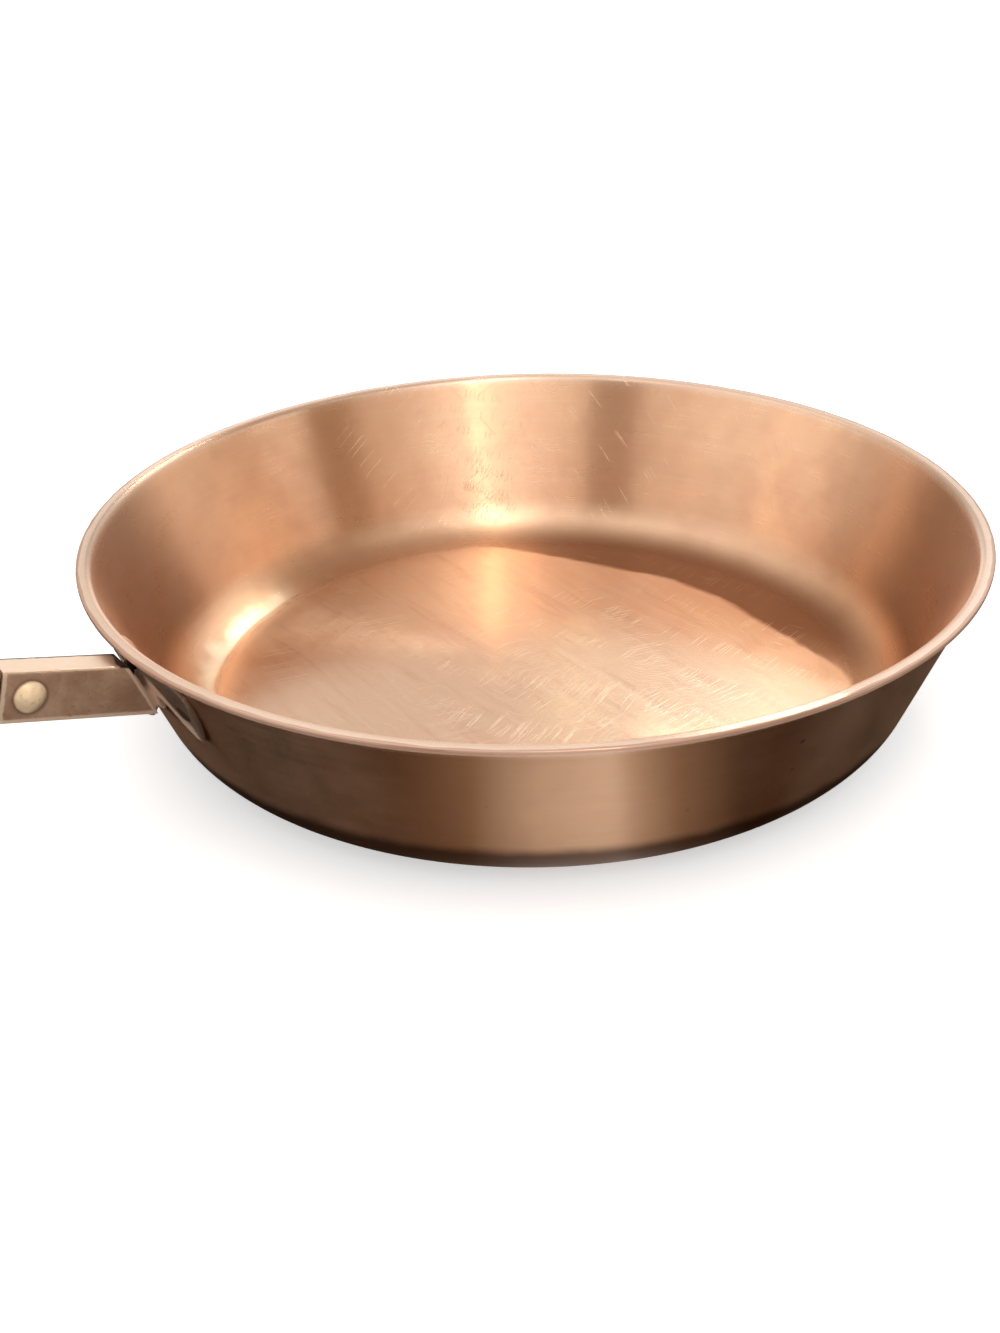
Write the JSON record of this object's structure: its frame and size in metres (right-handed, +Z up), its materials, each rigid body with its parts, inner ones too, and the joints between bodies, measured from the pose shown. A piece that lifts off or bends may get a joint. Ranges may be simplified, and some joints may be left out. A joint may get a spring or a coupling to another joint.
{
  "type": "copper skillet",
  "caption": "Round spun copper skillet with flared walls and a turned-out lip, a long riveted side handle with a sheet sleeve, and a flat base.",
  "frame": {"origin": "centre of the base's underside, on the pan's axis", "axes": "+Z up along the pan's axis, handle along -X, Y across the handle"},
  "size_m": [0.4599, 0.26, 0.1035],
  "materials": {
    "pan_copper": "turned and brushed copper, lightly scratched inside, darkened towards the base",
    "bracket_copper": "satin copper sheet, dark in the folds",
    "rivet_copper": "hammered copper, satin",
    "sleeve_copper": "satin copper sheet with faint scuffs",
    "grip_brass": "cast brass, satin, with a light brown tarnish",
    "rivet_brass": "brass, softly polished dome"
  },
  "bodies": {
    "root": {"pan_body": "pan_copper", "handle_bracket": "bracket_copper", "wall_rivet_left": "rivet_copper", "wall_rivet_right": "rivet_copper", "handle_sleeve": "sleeve_copper", "handle_grip": "grip_brass", "grip_rivet": "rivet_brass"}
  },
  "joints": []
}
